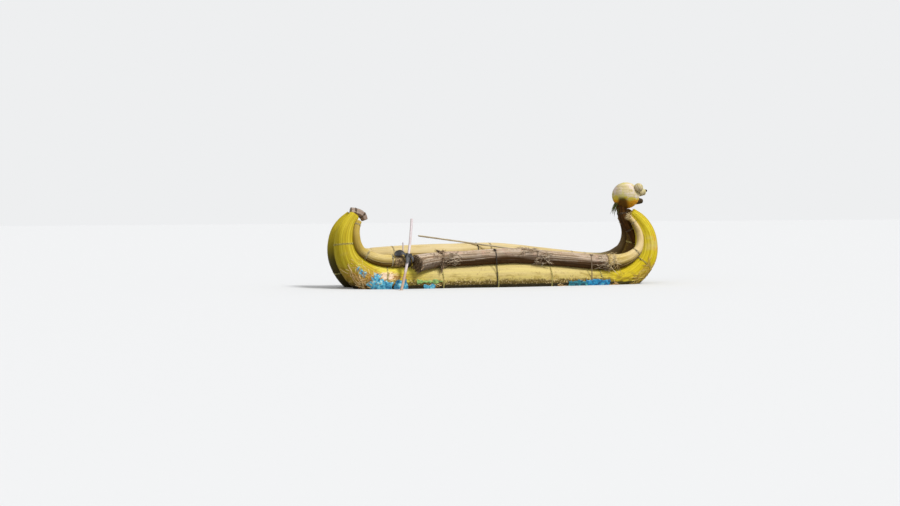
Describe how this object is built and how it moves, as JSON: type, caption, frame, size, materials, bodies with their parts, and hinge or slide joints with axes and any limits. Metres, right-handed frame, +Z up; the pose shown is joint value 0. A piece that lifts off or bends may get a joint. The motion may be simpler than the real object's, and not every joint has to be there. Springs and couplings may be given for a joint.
{
  "type": "reed boat",
  "caption": "Two-bundle reed boat with upswept ends, lashed gunwale bundles, a wound reed animal head at the bow and one oar in a loop.",
  "frame": {"origin": "on the centreline at the waterline, amidships", "axes": "+X forward to the bow, +Y to port, +Z up; the water surface is Z = 0"},
  "size_m": [7.355, 2.4072, 2.5186],
  "materials": {
    "hull_reed": "dry yellow totora reed, lengthwise stems",
    "gunwale_reed": "dry tan reed",
    "weathered_reed": "greyed, weathered reed",
    "tip_reed": "bleached pinkish grey reed",
    "inner_reed": "trodden reed matting",
    "neck_reed": "dark brown reed",
    "head_reed": "wound reed bleached on top",
    "dark_reed": "dark wound reed",
    "reed_rope": "twisted grass rope",
    "dark_rope": "dark twisted rope",
    "black_rubber": "strips of black rubber",
    "oar_wood": "pale bare wood",
    "pole_wood": "weathered pole",
    "blue_liner": "torn blue plastic sheeting"
  },
  "bodies": {
    "root": {"core_bundle": "inner_reed", "ear_port": "head_reed", "ear_starboard": "head_reed", "eye_port": "dark_reed", "eye_starboard": "dark_reed", "floor_mat": "inner_reed", "girth_rope_fore": "dark_rope", "girth_rope_middle": "dark_rope", "girth_rope_port_fore": "dark_rope", "girth_rope_port_middle": "dark_rope", "gunwale_bands_port": "reed_rope", "gunwale_bands_starboard": "reed_rope", "gunwale_port": "gunwale_reed", "gunwale_starboard_bow": "gunwale_reed", "gunwale_starboard_stern": "gunwale_reed", "head_ball": "head_reed", "hull_bands_port": "reed_rope", "hull_bands_starboard": "reed_rope", "hull_bundle_port": "hull_reed", "hull_bundle_starboard": "hull_reed", "hull_liner_bow": "blue_liner", "hull_liner_middle": "blue_liner", "hull_liner_stern": "blue_liner", "jaw": "head_reed", "muzzle": "head_reed", "neck_bundle": "neck_reed", "nose": "dark_reed", "oar_binding": "black_rubber", "oar_loop": "black_rubber", "peg": "oar_wood", "pole": "pole_wood", "repair_bundle_aft": "weathered_reed", "repair_bundle_fore": "weathered_reed", "repair_bundle_middle": "weathered_reed", "seat_bundle_aft": "inner_reed", "seat_bundle_fore": "inner_reed", "seat_bundle_middle": "inner_reed", "stern_tip_bundle": "tip_reed"},
    "oar": {"oar_blade": "oar_wood", "oar_shaft": "oar_wood"}
  },
  "joints": [
    {"name": "oar_stroke", "type": "hinge", "parent": "root", "child": "oar", "pos_m": [-2.2, -0.73183, 0.68986], "axis": [0, -0.8192, 0.5736], "range_deg": [-25, 17]}
  ]
}
